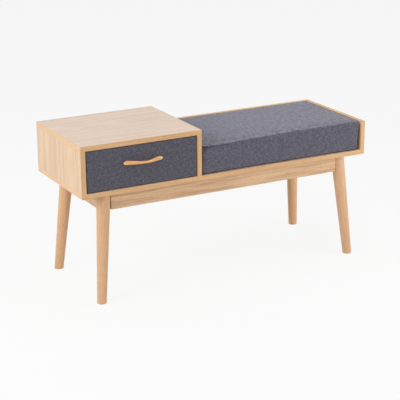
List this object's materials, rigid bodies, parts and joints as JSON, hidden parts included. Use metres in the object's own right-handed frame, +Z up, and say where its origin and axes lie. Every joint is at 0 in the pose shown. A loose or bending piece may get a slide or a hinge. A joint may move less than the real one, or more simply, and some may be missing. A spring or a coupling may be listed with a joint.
{
  "type": "telephone bench",
  "caption": "Low bench on splayed tapered legs, with a drawer box for a telephone or lamp at one end and a loose seat cushion at the other.",
  "frame": {"origin": "on the floor, at the middle of the footprint: halfway between the bench's ends, and halfway from the handle's front to the rear feet", "axes": "+Z up, +X along the bench from the drawer box to the seat's end panel, -Y out of the front, the way the drawer opens"},
  "size_m": [1, 0.379, 0.495],
  "materials": {
    "oak_board": "matt pale oak veneer",
    "oak_edge_strip": "satin oak edge strip",
    "oak_apron": "satin oak",
    "oak_leg": "satin lacquered oak",
    "beech_dowel": "raw beech",
    "hardboard": "smooth hardboard",
    "drawer_board": "matt foil on board",
    "front_core_board": "raw fibreboard",
    "grey_fabric": "woven, heathered grey with a violet tint",
    "underside_cloth": "black spunbond cloth",
    "cushion_foam": "open-cell foam",
    "lacquered_handle": "glossy orange-tan lacquer",
    "runner_enamel": "cream baked enamel",
    "roller_nylon": "white nylon",
    "zinc_steel": "zinc plated"
  },
  "bodies": {
    "carcass": {"base_board": "oak_board", "drawer_top_board": "oak_board", "left_side_panel": "oak_board", "divider_panel": "oak_board", "right_end_panel": "oak_board", "seat_back_rail": "oak_board", "base_board_edges": "oak_edge_strip", "drawer_top_board_edges": "oak_edge_strip", "left_side_panel_edges": "oak_edge_strip", "divider_panel_edges": "oak_edge_strip", "right_end_panel_edges": "oak_edge_strip", "seat_back_rail_edges": "oak_edge_strip", "drawer_bay_back": "hardboard", "leg_front_left": "oak_leg", "leg_front_right": "oak_leg", "leg_back_left": "oak_leg", "leg_back_right": "oak_leg", "front_apron": "oak_apron", "back_apron": "oak_apron", "left_apron": "oak_apron", "right_apron": "oak_apron", "corner_brackets": "zinc_steel", "hanger_bolts": "zinc_steel", "hanger_washers": "zinc_steel", "hanger_nuts": "zinc_steel", "bracket_screws": "zinc_steel", "apron_screws": "zinc_steel", "carcass_screws": "zinc_steel", "cam_bolts": "zinc_steel", "cam_locks": "zinc_steel", "wooden_dowels": "beech_dowel", "left_fixed_runner": "runner_enamel", "right_fixed_runner": "runner_enamel", "fixed_runner_pins": "zinc_steel", "fixed_runner_screws": "zinc_steel"},
    "drawer": {"drawer_front_board": "front_core_board", "drawer_front_fabric": "grey_fabric", "drawer_inner_front": "drawer_board", "drawer_left_side": "drawer_board", "drawer_right_side": "drawer_board", "drawer_back": "drawer_board", "drawer_bottom": "hardboard", "drawer_handle": "lacquered_handle", "handle_screws": "zinc_steel", "drawer_front_screws": "zinc_steel", "drawer_box_screws": "zinc_steel", "left_drawer_runner": "runner_enamel", "right_drawer_runner": "runner_enamel", "drawer_runner_pins": "zinc_steel", "drawer_runner_screws": "zinc_steel"},
    "cushion": {"cushion_cover": "grey_fabric", "cushion_underside": "underside_cloth", "cushion_foam": "cushion_foam"},
    "left_front_roller": {"left_front_roller": "roller_nylon"},
    "right_front_roller": {"right_front_roller": "roller_nylon"},
    "left_rear_roller": {"left_rear_roller": "roller_nylon"},
    "right_rear_roller": {"right_rear_roller": "roller_nylon"}
  },
  "joints": [
    {"name": "drawer_slide", "type": "slide", "parent": "carcass", "child": "drawer", "axis": [0, -1, 0], "range_m": [0, 0.225]},
    {"name": "cushion_lift", "type": "slide", "parent": "carcass", "child": "cushion", "axis": [0, 0, 1], "range_m": [0, 0.15]},
    {"name": "left_front_roller_turn", "type": "hinge", "parent": "carcass", "child": "left_front_roller", "pos_m": [-0.4789, -0.13244, 0.3676], "axis": [1, 0, 0], "continuous": true},
    {"name": "right_front_roller_turn", "type": "hinge", "parent": "carcass", "child": "right_front_roller", "pos_m": [-0.1231, -0.13244, 0.3676], "axis": [1, 0, 0], "continuous": true},
    {"name": "left_rear_roller_turn", "type": "hinge", "parent": "drawer", "child": "left_rear_roller", "pos_m": [-0.4789, 0.14156, 0.3674], "axis": [1, 0, 0], "continuous": true},
    {"name": "right_rear_roller_turn", "type": "hinge", "parent": "drawer", "child": "right_rear_roller", "pos_m": [-0.1231, 0.14156, 0.3674], "axis": [1, 0, 0], "continuous": true}
  ],
  "couplings": [
    {"joint": "left_front_roller_turn", "follows": "drawer_slide", "rad_per_m": 125},
    {"joint": "right_front_roller_turn", "follows": "drawer_slide", "rad_per_m": 125},
    {"joint": "left_rear_roller_turn", "follows": "drawer_slide", "rad_per_m": 125},
    {"joint": "right_rear_roller_turn", "follows": "drawer_slide", "rad_per_m": 125}
  ]
}
